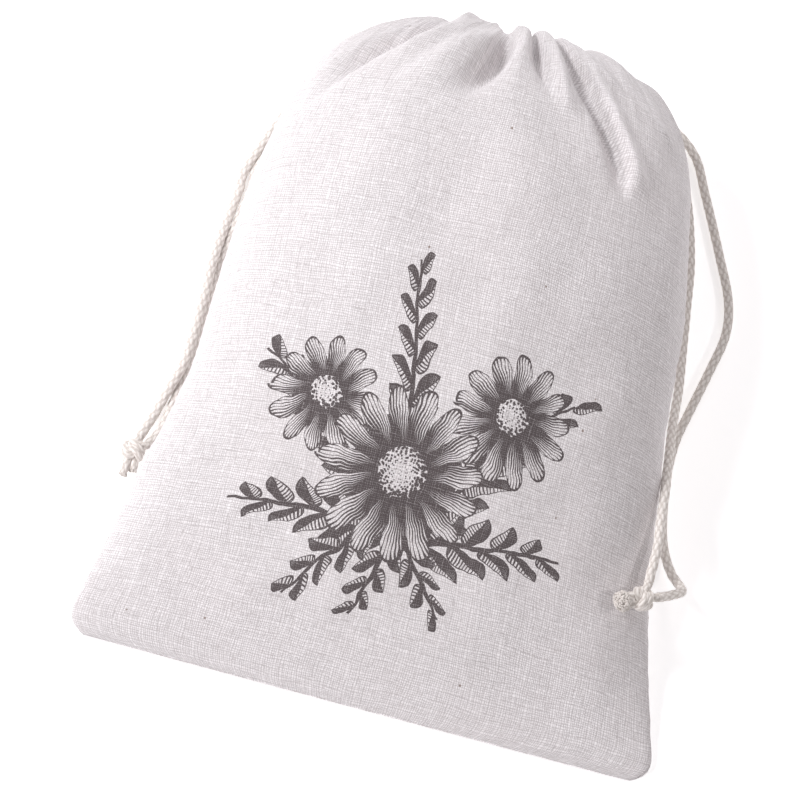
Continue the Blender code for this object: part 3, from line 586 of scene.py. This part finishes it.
def cord_material(name, worn=0.0):
    material, n, shader = new_material(name)
    uv = n.new("ShaderNodeUVMap", uv_map="Flat").outputs[0]
    split = n.new("ShaderNodeSeparateXYZ")
    n.put(split.inputs[0], uv)
    turn, run = split.outputs[0], n.mul(split.outputs[1], 1000.0)     # 0 to 1 round, mm along
    # the plait's two slants, matching the modelled relief
    p = n.m("MULTIPLY_ADD", turn, 5.0, n.div(run, 6.4))
    q = n.sub(n.mul(turn, 5.0), n.div(run, 6.4))
    ip, iq = n.floor(p), n.floor(q)
    parity = n.m("FLOORED_MODULO", n.add(ip, iq), 2.0)
    across = n.lerp(parity, n.sub(n.sub(p, ip), 0.5), n.sub(n.sub(q, iq), 0.5))
    ends = n.lerp(parity, n.sub(n.sub(q, iq), 0.5), n.sub(n.sub(p, ip), 0.5))
    ply = n.cos(n.mul(across, 4 * math.pi))
    crease = n.mul(n.cos(n.mul(across, math.pi)), n.m("POWER", n.cos(n.mul(ends, math.pi)), 0.4))
    tone = n.noise(n.xyz(n.mul(turn, 14.0), n.mul(run, 0.8)), 1.0, 3.0, 0.6)
    long = n.noise(n.xyz(n.mul(turn, 2.0), n.mul(run, 0.03)), 1.0, 2.0, 0.5)
    # colour follows the plait's relief: painted shade in the creases between the strands, and a painted highlight along
    # each ply's crown
    colour = n.mix(n.range(crease, 0.15, 0.8), (0.45, 0.395, 0.35), (0.80, 0.755, 0.715))
    colour = n.mix(n.range(ply, -1.0, 1.0, 0.0, 0.35), colour, (0.91, 0.875, 0.845))
    colour = n.mix(n.range(tone, 0.45, 0.8, 0.0, 0.5), colour, (0.90, 0.87, 0.84))
    colour = n.mix(n.range(long, 0.35, 0.7, 0.0, 0.22 + worn), colour, (0.72, 0.665, 0.625))
    n.put(shader.inputs["Base Color"], colour)
    shader.inputs["Roughness"].default_value = 0.88
    shader.inputs["Specular IOR Level"].default_value = 0.25
    shader.inputs["Sheen Weight"].default_value = 0.18
    shader.inputs["Sheen Roughness"].default_value = 0.5
    bump = n.new("ShaderNodeBump")
    bump.inputs["Strength"].default_value = 0.5
    bump.inputs["Distance"].default_value = 0.0002
    n.put(bump.inputs["Height"], n.add(n.mul(ply, 0.4), tone))
    n.put(shader.inputs["Normal"], bump.outputs[0])
    return material


def thread_material():
    material, n, shader = new_material("sewing_thread")
    place = n.new("ShaderNodeTexCoord").outputs["Object"]
    tone = n.noise(place, 2600.0, 2.0, 0.6, dims="3D")
    n.put(shader.inputs["Base Color"], n.mix(n.range(tone, 0.35, 0.7), (0.80, 0.77, 0.745),
                                             (0.90, 0.875, 0.85)))
    shader.inputs["Roughness"].default_value = 0.75
    bump = n.new("ShaderNodeBump")
    bump.inputs["Strength"].default_value = 0.3
    bump.inputs["Distance"].default_value = 0.0001
    n.put(bump.inputs["Height"], tone)
    n.put(shader.inputs["Normal"], bump.outputs[0])
    return material


# ============================================================ cords
def smooth_route(points, step):
    """Points every step along a smooth curve through the route's own points."""
    p = np.array(points, float)
    ends = np.vstack([2 * p[0] - p[1], p, 2 * p[-1] - p[-2]])
    dense = []
    for k in range(1, len(ends) - 2):
        p0, p1, p2, p3 = ends[k - 1:k + 3]
        for t in np.linspace(0, 1, 40, endpoint=False):
            dense.append(0.5 * (2 * p1 + (p2 - p0) * t + (2 * p0 - 5 * p1 + 4 * p2 - p3) * t**2
                                + (3 * p1 - p0 - 3 * p2 + p3) * t**3))
    dense = np.array(dense + [p[-1]])
    run = np.concatenate([[0.0], np.cumsum(np.linalg.norm(np.diff(dense, axis=0), axis=1))])
    n = max(2, int(round(run[-1] / step)))
    wanted = np.linspace(0.0, run[-1], n + 1)
    return np.stack([np.interp(wanted, run, dense[:, k]) for k in range(3)], 1), run[-1]


def carried_frames(path):
    """A side direction at each point of a path, turned as little as possible."""
    tangent = unit(np.gradient(path, axis=0))
    side = np.zeros_like(path)
    start = np.cross(tangent[0], [0.0, 0.0, 1.0])
    if np.linalg.norm(start) < 0.1:
        start = np.cross(tangent[0], [0.0, 1.0, 0.0])
    side[0] = unit(start)
    for k in range(1, len(path)):
        v = side[k - 1] - tangent[k] * (side[k - 1] @ tangent[k])
        side[k] = unit(v)
    return tangent, side, np.cross(tangent, side)


def plait_height(turn, run, pitch=6.4, strands=5.0):
    """Relief of a round plait: 0 in the creases, 1 on top of each strand."""
    p, q = turn * strands + run / pitch, turn * strands - run / pitch
    ip, iq = np.floor(p), np.floor(q)
    odd = (ip + iq) % 2 > 0.5
    fp, fq = p - ip - 0.5, q - iq - 0.5
    across, ends = np.where(odd, fq, fp), np.where(odd, fp, fq)
    return np.cos(across * math.pi) ** 0.8 * np.cos(ends * math.pi) ** 0.35


def tube(path, radius, sides, relief=0.0, run0=0.0, squash=None):
    """Verts (mm), faces and uvs of a plaited tube with rounded ends along a path (mm)."""
    tangent, side, other = carried_frames(path)
    run = run0 + np.concatenate([[0.0], np.cumsum(np.linalg.norm(np.diff(path, axis=0), axis=1))])
    turn = np.arange(sides) / sides
    radius = np.broadcast_to(radius, (len(path),))
    verts, faces, uvs = [], [], []
    for i in range(len(path)):
        lift = plait_height(turn, np.full(sides, run[i])) if relief else 0.0
        r = radius[i] * (1.0 - relief + relief * lift)
        a = turn * 2 * math.pi
        verts += list(path[i] + (np.cos(a) * r)[:, None] * side[i] + (np.sin(a) * r)[:, None] * other[i])
    for i in range(len(path) - 1):
        for j in range(sides):
            k = (j + 1) % sides
            faces.append((i * sides + j, i * sides + k, (i + 1) * sides + k, (i + 1) * sides + j))
            uvs += [(j / sides, run[i] * MM), ((j + 1) / sides, run[i] * MM),
                    ((j + 1) / sides, run[i + 1] * MM), (j / sides, run[i + 1] * MM)]
    for end, base in ((0, 0), (len(path) - 1, (len(path) - 1) * sides)):
        tip = len(verts)
        out = -1.0 if end == 0 else 1.0
        verts.append(path[end] + out * tangent[end] * radius[end] * 0.45)
        for j in range(sides):
            k = (j + 1) % sides
            faces.append((tip, base + k, base + j) if end == 0 else (tip, base + j, base + k))
            pair = [((j + 1) / sides, run[end] * MM), (j / sides, run[end] * MM)]
            uvs += [(j / sides, run[end] * MM)] + (pair if end == 0 else pair[::-1])
    return verts, faces, uvs


def build_piece(name, chunks, material):
    """One object from several (verts, faces, uvs) chunks in table mm."""
    verts, faces, uvs = [], [], []
    for v, f, u in chunks:
        shift = len(verts)
        verts += [tuple(p) for p in to_frame(v)]
        faces += [tuple(a + shift for a in face) for face in f]
        uvs += list(u)
    obj = mesh_object(name, verts, faces, material)
    layer = obj.data.uv_layers.new(name="Flat")
    layer.data.foreach_set("uv", np.array(uvs, float).ravel())
    return obj


def knot_chunks(knot, seed, cords_from):
    """An overhand knot in two strands together, with their cut ends frayed."""
    local = np.random.default_rng(seed)
    at, out = np.array(knot["at"], float), unit(knot["ends"])
    side = unit(np.cross(out, [0.0, 0.0, 1.0]))
    up = np.cross(side, out)
    chunks = []
    # the wraps: a trefoil drawn in close round the line of the cords
    t = np.linspace(0.0, 2 * math.pi, 121)
    for strand in (-1, 1):
        big, small = 3.15, 1.45
        ring = big + small * np.cos(3 * t + strand * 0.35)
        x = ring * np.cos(2 * t + strand * 0.20) * 1.02
        y = ring * np.sin(2 * t + strand * 0.20) * 0.92
        z = small * 1.5 * np.sin(3 * t + strand * 0.35) + strand * 1.25
        path = at + x[:, None] * side + y[:, None] * up + z[:, None] * out
        v, f, u = tube(path, 2.05, 22, 0.14, run0=strand * 7.0)
        chunks.append((v, f, u))
    # the cords' last stretch, from their ends into the knot
    for p in cords_from:
        p = np.array(p, float)
        mid = (p + at) / 2 + up * 0.4
        path, _ = smooth_route([p, mid, at], 0.8)
        chunks.append(tube(path, np.linspace(2.35, 1.9, len(path)), 20, 0.12))
    # two cut ends side by side, of uneven length
    for strand, tail in zip((-1, 1), knot["tails"]):
        base = at + out * 3.0 + side * strand * 1.7 + up * strand * 0.5
        tip = at + out * tail + side * strand * 2.05 + up * (strand * 0.4 - 0.2)
        path, _ = smooth_route([base, (base + tip) / 2 + up * 0.5, tip], 0.6)
        chunks.append(tube(path, np.interp(np.linspace(0, 1, len(path)), [0, .4, .85, 1], [2.1, 2.4, 2.35, 1.7]),
                           24, 0.12))
        for _ in range(knot["yarns"]):
            angle, off = local.uniform(0, 2 * math.pi), math.sqrt(local.uniform(0, 1)) * 1.5
            spoke = side * math.cos(angle) + up * math.sin(angle)
            start = tip - out * 0.9 + spoke * off
            away = unit(out + spoke * off * 0.25 + local.normal(0, 0.12, 3))
            length = local.uniform(1.5, 2.3)
            path = [start, start + away * length * 0.55, start + away * length + local.normal(0, 0.18, 3)]
            for p in path:
                p[2] = max(p[2], 0.6)
            path, _ = smooth_route(path, 0.4)
            chunks.append(tube(path, np.interp(np.linspace(0, 1, len(path)), [0, .7, 1], [0.55, 0.5, 0.3]), 6))
    if knot["tuft"]:
        # the yarns of the cut ends opened into a round tuft
        far, deep, wide = knot["tuft"]
        heart = at + out * far
        path, _ = smooth_route([at + out * 5.5, heart, heart + out * deep * 0.55], 0.5)
        chunks.append(tube(path, np.interp(np.linspace(0, 1, len(path)), [0, .5, .8, 1],
                                           [2.8, wide * 0.74, wide * 0.66, 0.9]), 26, 0.22))
        for k in range(210):
            t = 1.0 - 1.55 * (k + 0.5) / 210                   # evenly over most of a ball
            angle = k * 2.39996 + local.normal(0, 0.12)
            ring = math.sqrt(max(0.0, 1.0 - t * t))
            spoke = side * math.cos(angle) + up * math.sin(angle)
            spot = out * deep * t + spoke * wide * ring
            outward = unit(spot)
            lean = unit(np.cross(outward, local.normal(0, 1, 3)))
            grow = local.uniform(0.90, 1.10)
            path = [heart + spot * 0.60, heart + spot * 0.88 * grow + lean * 0.35,
                    heart + spot * 1.02 * grow + lean * 1.0, heart + spot * 0.97 * grow + lean * 1.7]
            path, _ = smooth_route(path, 0.38)
            chunks.append(tube(path, np.interp(np.linspace(0, 1, len(path)), [0, .6, 1], [0.62, 0.60, 0.40]), 7))
    return chunks


# ============================================================ the cloth's surface, as in the CAD model
def smooth_rows(at, rows, wanted):
    at, rows, wanted = (np.asarray(v, float) for v in (at, rows, wanted))
    gap = np.diff(at)
    rise = np.diff(rows, axis=0) / gap[:, None]
    slope = np.zeros_like(rows)
    slope[0], slope[-1] = rise[0], rise[-1]
    for k in range(1, len(at) - 1):
        before, after = rise[k - 1], rise[k]
        w1, w2 = 2 * gap[k] + gap[k - 1], gap[k] + 2 * gap[k - 1]
        same = before * after > 0
        safe_b, safe_a = np.where(same, before, 1.0), np.where(same, after, 1.0)
        slope[k] = np.where(same, (w1 + w2) / (w1 / safe_b + w2 / safe_a), 0.0)
    i = np.clip(np.searchsorted(at, wanted, side="right") - 1, 0, len(at) - 2)
    t = ((wanted - at[i]) / gap[i])[:, None]
    g = gap[i][:, None]
    return ((2 * t**3 - 3 * t**2 + 1) * rows[i] + (t**3 - 2 * t**2 + t) * g * slope[i]
            + (-2 * t**3 + 3 * t**2) * rows[i + 1] + (t**3 - t**2) * g * slope[i + 1])


def power(c, n):
    return np.sign(c) * np.abs(c) ** (2.0 / n)


def round_gap(d):
    return (d + HALF_CLOTH) % ROUND_CLOTH - HALF_CLOTH


def run_of_cloth():
    r = np.array(SECTIONS)
    front = np.hypot(np.diff(r[:, 0]), np.diff(r[:, 1]))
    side = np.sqrt(np.diff(r[:, 2])**2 + np.diff(r[:, 3])**2 + np.diff(r[:, 4])**2)
    return np.concatenate([[0.0], np.cumsum(0.5 * (front + side))])


def fold_lines(aways):
    """Each fold's place, depth and spread at the given distances from the neck."""
    lines = {}
    for name, sharp, rows in FOLD_LINES:
        rows = np.array(rows)
        values = smooth_rows(rows[:, 0], rows[:, 1:], np.clip(aways, rows[0, 0], rows[-1, 0]))
        values[aways > rows[-1, 0], 1] = 0.0
        if rows[0, 2] == 0.0:
            values[aways < rows[0, 0], 1] = 0.0
        lines[name] = (sharp, values, rows[-1, 0])
    return lines


def column_places(columns, away, i, lines):
    """Columns that keep to the main folds near the neck, and stand evenly further down."""
    home, move = [], []
    for name in GUIDES:
        sharp, values, reach = lines[name]
        at50 = lines["home"][name]
        fade = 1.0 - float(ease((away - reach) / 150.0))
        home.append(at50)
        move.append((values[i, 0] - at50) * fade)
    home, move = np.array(home), np.array(move)
    home3 = np.concatenate([home - ROUND_CLOTH, home, home + ROUND_CLOTH])
    return columns + np.interp(columns, home3, np.concatenate([move, move, move]))


def fold_depth(place, away, i, lines):
    """How far the folds push the cloth in. Folds that meet run smoothly into each other."""
    pushed, raised = np.zeros_like(place), np.zeros_like(place)
    for name, line in lines.items():
        if name == "home":
            continue
        sharp, values, reach = line
        at, depth, left, right = values[i]
        if depth == 0.0:
            continue
        d = round_gap(place - at)
        t = np.clip(np.where(d < 0, -d / left, d / right), 0.0, 1.0)
        lobe = (1 - sharp) * (0.5 + 0.5 * np.cos(math.pi * t)) + sharp * (1 - t) ** 1.8
        if depth > 0:
            pushed = (pushed ** 5 + (depth * lobe) ** 5) ** 0.2
        else:
            raised = (raised ** 5 + (-depth * lobe) ** 5) ** 0.2
    spots = np.zeros_like(place)
    for at, far, depth, wide, long in SPOTS:
        q = (round_gap(place - at) / wide) ** 2 + ((away - far) / long) ** 2
        spots += depth * np.exp(-q)
    return pushed - raised + spots


def plain_section(row, place):
    ty, tz, sy, sz, half, by, bz, nf, nb, cx = row
    turn = np.linspace(0.0, math.pi, 721)
    out = np.zeros((len(place), 3))
    place = place % ROUND_CLOTH
    for low, sign, n, y1, z1 in ((0.0, -1.0, nf, ty, tz), (HALF_CLOTH, 1.0, nb, by, bz)):
        k = power(np.sin(turn), n)
        line = np.stack([sign * half * power(np.cos(turn), n),
                         sy + (y1 - sy) * k, sz + (z1 - sz) * k], 1)
        line[:, 2] = np.maximum(line[:, 2], 0.0)
        run = np.concatenate([[0.0], np.cumsum(np.linalg.norm(np.diff(line, axis=0), axis=1))])
        here = (place >= low) & (place < low + HALF_CLOTH)
        part = (place[here] - low) / HALF_CLOTH * run[-1]
        for axis in range(3):
            out[here, axis] = np.interp(part, run, line[:, axis])
    out[:, 0] += cx
    return out


class SoftNoise:
    """Smooth noise on the flat cloth, the same on both sides of the 600 mm round."""

    def __init__(self, seed, wave_round, wave_along, count=26):
        r = np.random.default_rng(seed)
        self.k = np.round(r.normal(0, ROUND_CLOTH / wave_round, count))
        self.w = r.normal(0, 2 * math.pi / wave_along, count)
        self.p = r.uniform(0, 2 * math.pi, count)
        self.a = 1.0 / math.sqrt(count / 2)

    def __call__(self, place, run):
        total = np.zeros(np.broadcast(place, run).shape)
        for k, w, p in zip(self.k, self.w, self.p):
            total += np.sin(place * (k * 2 * math.pi / ROUND_CLOTH) + run * w + p)
        return total * self.a


def uneven(low, high, coarse, fine, from_, to):
    """Places from low to high: fine steps between from_ and to, coarse ones elsewhere."""
    out, at = [low], low
    while at < high - 1e-6:
        inside = float(ease((at - from_ + 25.0) / 25.0) * ease((to + 25.0 - at) / 25.0))
        at += coarse + (fine - coarse) * inside
        out.append(at)
    out = np.array(out)
    return low + (out - low) * (high - low) / (out[-1] - low)




def cloth_grid():
    """The outer surface: points (mm), and each point's place and run on the flat cloth."""
    at = run_of_cloth()
    wanted = np.concatenate([[0.0, 0.8], uneven(2.0, at[-1], 3.6, 1.65, at[CASING_ROW] - 132.0, at[-1])])
    rows = smooth_rows(at, SECTIONS, wanted)
    neck = at[CASING_ROW]
    columns = np.concatenate([uneven(0.0, HALF_CLOTH, 3.6, 1.55, 52.0, 248.0)[:-1],
                              uneven(HALF_CLOTH, ROUND_CLOTH, 3.6, 3.6, 300.0, 300.0)[:-1]])
    lines = fold_lines(neck - wanted)
    at50 = fold_lines(np.array([PLEAT_AT]))
    lines["home"] = {name: at50[name][1][0, 0] for name in GUIDES}
    grid = np.zeros((len(wanted), len(columns), 3))
    places = np.zeros((len(wanted), len(columns)))
    inwards = np.zeros_like(grid)
    for i, row in enumerate(rows):
        away = neck - wanted[i]
        place = column_places(columns, away, i, lines)
        pts = plain_section(row, place)
        up = np.array([0.0, row[0] - row[5], row[1] - row[6]])
        along = np.cross([1.0, 0.0, 0.0], up / np.linalg.norm(up))
        inward = np.cross(np.roll(pts, -1, 0) - np.roll(pts, 1, 0), along)
        inward = unit(inward)
        middle = pts.mean(axis=0)
        if ((middle - pts) * inward).sum() < 0:
            inward = -inward
        grid[i] = pts + inward * fold_depth(place, away, i, lines)[:, None]
        inwards[i] = inward
        places[i] = place
    runs = np.repeat(wanted[:, None], len(columns), 1)
    return grid, places, runs, neck, inwards


def grid_normals(grid):
    """Normals pointing out of the bag."""
    across = np.roll(grid, -1, 1) - np.roll(grid, 1, 1)
    along = np.gradient(grid, axis=0)
    normal = unit(np.cross(across, along))
    middle = grid.mean(axis=1)[:, None, :]
    if ((grid - middle) * normal).sum() < 0:
        normal = -normal
    return normal


def shape_cloth():
    grid, places, runs, neck, _ = cloth_grid()
    away = neck - runs
    # even out the mesh's corners where folds run together, most near the neck
    for _ in range(4):
        share = (0.16 + 0.22 * ease((45.0 - away) / 45.0))[:, :, None]
        mean = (np.roll(grid, 1, 1) + np.roll(grid, -1, 1)) / 2
        grid = grid + (mean - grid) * share
        inner = grid[1:-1] + ((grid[2:] + grid[:-2]) / 2 - grid[1:-1]) * 0.2
        keep = ease((runs[1:-1] - 4.0) / 10.0)[:, :, None]
        grid[1:-1] = grid[1:-1] + (inner - grid[1:-1]) * keep
    normal = grid_normals(grid)
    free = ease((runs - 8.0) / 40.0)
    body = ease((away - 20.0) / 60.0)
    near = ease((130.0 - away) / 110.0) * ease((away + 2.0) / 12.0)
    wide, mid, fine = SoftNoise(3, 190, 240), SoftNoise(5, 62, 80), SoftNoise(8, 24, 34)
    drawn = SoftNoise(14, 21, 150)
    swell = (wide(places, runs) * 1.0 + mid(places, runs) * 0.32) * free * body
    swell += fine(places, runs) * 0.07 * free
    swell += drawn(places, runs) * 0.42 * near
    # side seams: a narrow groove, with the cloth puckered beside it
    for seam in (0.0, HALF_CLOTH):
        d = round_gap(places - seam)
        sewn = ease(runs / 6.0) * ease((away + 6.0) / 10.0)
        pucker = np.sin(runs * 2 * math.pi / 10.5 + seam) * 0.5 + np.sin(runs * 2 * math.pi / 17.3) * 0.5
        swell += sewn * (-0.9 * np.exp(-(d / 1.7) ** 2) + 0.28 * pucker * np.exp(-((np.abs(d) - 6.0) / 4.5) ** 2))
    # the casing: pinched along its stitch line, a little full over the cord inside
    swell += -0.9 * np.exp(-((away + 1.0) / 1.8) ** 2)
    swell += 1.1 * np.exp(-((away + 13.0) / 6.5) ** 2)
    grid = grid + normal * swell[:, :, None]
    grid[:, :, 2] = np.maximum(grid[:, :, 2], 0.0)
    return grid, places, runs, neck


def build_bag(material):
    grid, places, runs, neck = shape_cloth()
    rows, cols = grid.shape[:2]
    verts = to_frame(grid.reshape(-1, 3))
    faces, uvs = [], []

    def flat(i, j, wrap):
        return ((places[i, j] + (ROUND_CLOTH if wrap else 0.0)) * MM, runs[i, j] * MM)

    for i in range(rows - 1):
        for j in range(cols):
            k = (j + 1) % cols
            faces.append((i * cols + j, i * cols + k, (i + 1) * cols + k, (i + 1) * cols + j))
            uvs += [flat(i, j, False), flat(i, k, k == 0), flat(i + 1, k, k == 0), flat(i + 1, j, False)]
    # the bottom fold: a strip from the front edge's points to the back edge's
    half = int(np.abs(places[0] - HALF_CLOTH).argmin())
    front = list(range(0, half + 1))
    back = [j % cols for j in range(cols, half - 1, -1)]
    reach = [places[0, j] for j in front], [ROUND_CLOTH - places[0, j] if j else 0.0 for j in back]
    a = b = 0
    while a < len(front) - 1 or b < len(back) - 1:
        next_a = reach[0][a + 1] if a < len(front) - 1 else 1e9
        next_b = reach[1][b + 1] if b < len(back) - 1 else 1e9
        if next_a <= next_b:
            face = (front[a + 1], front[a], back[b])
            at = (reach[0][a + 1], reach[0][a], reach[1][b])
            a += 1
        else:
            face = (back[b + 1], front[a], back[b])
            at = (reach[1][b + 1], reach[0][a], reach[1][b])
            b += 1
        if len(set(face)) == 3:
            faces.append(face)
            uvs += [(p * MM, 0.0) for p in at]
    obj = mesh_object("bag_cloth_sewn", verts, faces, material)
    layer = obj.data.uv_layers.new(name="Flat")
    layer.data.foreach_set("uv", np.array(uvs, float).ravel())
    thick = obj.modifiers.new("cloth", "SOLIDIFY")
    thick.thickness = CLOTH_THICK * MM
    thick.offset = -1.0
    thick.use_even_offset = False
    thick.use_rim = True
    return obj, (grid, places, runs, neck)


def build_stitches(surface, material):
    """Thread along the casing's stitch line and the free edge's hem: short raised stitches."""
    grid, places, runs, neck = surface
    normal = grid_normals(grid)
    chunks = []
    for target, gap_share, lift in ((neck + 0.8, 0.28, 0.22), (runs[-1, 0] - 2.6, 0.28, 0.22)):
        i = int(np.abs(runs[:, 0] - target).argmin())
        line = grid[i] + normal[i] * lift
        loop = np.vstack([line, line[:1]])
        run = np.concatenate([[0.0], np.cumsum(np.linalg.norm(np.diff(loop, axis=0), axis=1))])
        count = int(run[-1] / 3.2)
        for k in range(count):
            a, b = run[-1] * k / count, run[-1] * (k + 1 - gap_share) / count
            at = np.linspace(a, b, 4)
            path = np.stack([np.interp(at, run, loop[:, c]) for c in range(3)], 1)
            nn = np.stack([np.interp(at, run, np.vstack([normal[i], normal[i][:1]])[:, c]) for c in range(3)], 1)
            path = path + nn * (np.array([-0.35, 0.0, 0.0, -0.35])[:, None])
            chunks.append(tube(path, 0.24, 6))
    return build_piece("casing_stitches", chunks, material)


# ============================================================ build
camera = make_camera()

cord_look = cord_material("braided_cotton_cord")
cords = {}
for name, node, route in (("cord_left_outer", "cord_left_a", LEFT_A), ("cord_left_inner", "cord_left_b", LEFT_B),
                          ("cord_right_outer", "cord_right_a", RIGHT_A), ("cord_right_inner", "cord_right_b", RIGHT_B)):
    path, length = smooth_route(route, 0.72)
    obj = build_piece(name, [tube(path, CORD_D / 2 * 1.02, 30, 0.13)], cord_look)
    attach(obj, "root")
    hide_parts(node)
    cords[name] = (obj, path, length)

knots = {}
for name, node, knot, pair in (("knot_left_tied", "knot_left", KNOT_LEFT, (LEFT_A[-1], LEFT_B[-1])),
                               ("knot_right_tied", "knot_right", KNOT_RIGHT, (RIGHT_A[-1], RIGHT_B[-1]))):
    obj = build_piece(name, knot_chunks(knot, 21 if "left" in name else 34, pair), cord_look)
    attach(obj, "root")
    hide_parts(node)
    knots[name] = obj

for name, (obj, path, length) in cords.items():
    knot = knots["knot_left_tied" if "left" in name else "knot_right_tied"]

bag, surface = build_bag(cloth_material())
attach(bag, "root")
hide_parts("bag_cloth")
stitches = build_stitches(surface, thread_material())
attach(stitches, "root")


# ============================================================ floor, light
def floor_piece():
    material, n, shader = new_material("pale_floor")
    place = n.new("ShaderNodeTexCoord").outputs["Object"]
    n.put(shader.inputs["Base Color"],
          n.mix(n.noise(place, 3.0, 2.0, 0.5, dims="3D"), (0.93, 0.93, 0.93), (0.95, 0.95, 0.95)))
    shader.inputs["Roughness"].default_value = 0.9
    shader.inputs["Specular IOR Level"].default_value = 0.1
    # lit a little from below, as a light table is, so that it stays white round the object
    shader.inputs["Emission Color"].default_value = (1.0, 0.99, 0.99, 1.0)
    shader.inputs["Emission Strength"].default_value = 0.42
    verts = [(-4, -4, -0.0004), (4, -4, -0.0004), (4, 4, -0.0004), (-4, 4, -0.0004)]
    obj = mesh_object("floor", verts, [(0, 1, 2, 3)], material)
    return obj


def area_light(name, at, to, size, power_w, colour):
    data = bpy.data.lights.new(name, "AREA")
    data.shape = "DISK"
    data.size = size
    data.energy = power_w
    data.color = colour
    obj = link(bpy.data.objects.new(name, data))
    obj.location = at
    obj.rotation_euler = (Vector(to) - Vector(at)).to_track_quat("-Z", "Y").to_euler()
    return obj


floor_piece()
middle = (0.0, 0.0, 0.05)
area_light("key", (-0.92, 0.22, 1.06), middle, 0.36, 12.1, (0.98, 0.98, 1.0))
area_light("back", (0.20, 1.86, 0.95), middle, 0.9, 10.5, (0.99, 0.975, 1.0))
area_light("front", (-1.50, -1.30, 0.85), middle, 0.9, 20.5, (0.995, 0.965, 0.995))
area_light("side", (1.20, -0.05, 1.00), middle, 0.13, 3.1, (1.0, 0.955, 0.96))
world = bpy.data.worlds.new("studio")
bpy.context.scene.world = world
world.use_nodes = True
world.node_tree.nodes["Background"].inputs["Color"].default_value = (1.0, 0.97, 0.98, 1.0)
world.node_tree.nodes["Background"].inputs["Strength"].default_value = 0.36
bpy.context.scene.view_settings.view_transform = "Standard"
